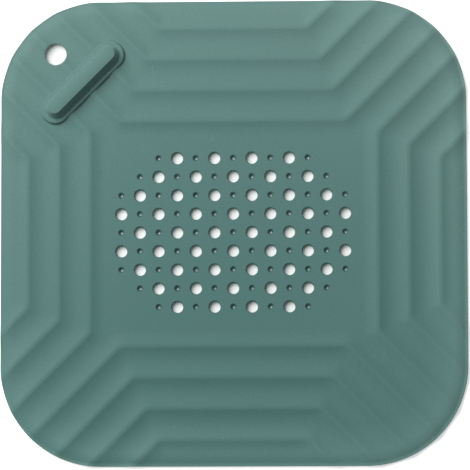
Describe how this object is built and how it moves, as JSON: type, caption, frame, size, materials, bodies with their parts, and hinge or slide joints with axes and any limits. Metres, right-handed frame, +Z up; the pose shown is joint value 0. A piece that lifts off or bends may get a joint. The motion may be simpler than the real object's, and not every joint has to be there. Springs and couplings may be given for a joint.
{
  "type": "sink strainer",
  "caption": "Square silicone drain mat with nested ridges, a perforated field, a hang hole, a raised grip bar and suction cups underneath; catches hair and scraps over a drain.",
  "frame": {"origin": "under the middle of the mat, on the surface that the suction cups stand on", "axes": "+Z up through the mat, +X to the right and +Y to the back in the picture's view; the hang hole and grip bar are in the back left corner"},
  "size_m": [0.15, 0.15, 0.0079],
  "materials": {
    "silicone": "matte moulded silicone, grey green"
  },
  "bodies": {
    "mat": {"strainer_mat": "silicone", "grip_bar": "silicone"},
    "cup_back_left": {"suction_cup_back_left": "silicone"},
    "cup_back_right": {"suction_cup_back_right": "silicone"},
    "cup_front_left": {"suction_cup_front_left": "silicone"},
    "cup_front_right": {"suction_cup_front_right": "silicone"}
  },
  "joints": [
    {"name": "press_back_left", "type": "slide", "parent": "mat", "child": "cup_back_left", "axis": [0, 0, 1], "range_m": [0, 0.0004], "stiffness_N_per_m": 150, "springref_m": -0.002, "deforming": ["suction_cup_back_left"]},
    {"name": "press_back_right", "type": "slide", "parent": "mat", "child": "cup_back_right", "axis": [0, 0, 1], "range_m": [0, 0.0004], "stiffness_N_per_m": 150, "springref_m": -0.002, "deforming": ["suction_cup_back_right"]},
    {"name": "press_front_left", "type": "slide", "parent": "mat", "child": "cup_front_left", "axis": [0, 0, 1], "range_m": [0, 0.0004], "stiffness_N_per_m": 150, "springref_m": -0.002, "deforming": ["suction_cup_front_left"]},
    {"name": "press_front_right", "type": "slide", "parent": "mat", "child": "cup_front_right", "axis": [0, 0, 1], "range_m": [0, 0.0004], "stiffness_N_per_m": 150, "springref_m": -0.002, "deforming": ["suction_cup_front_right"]}
  ]
}
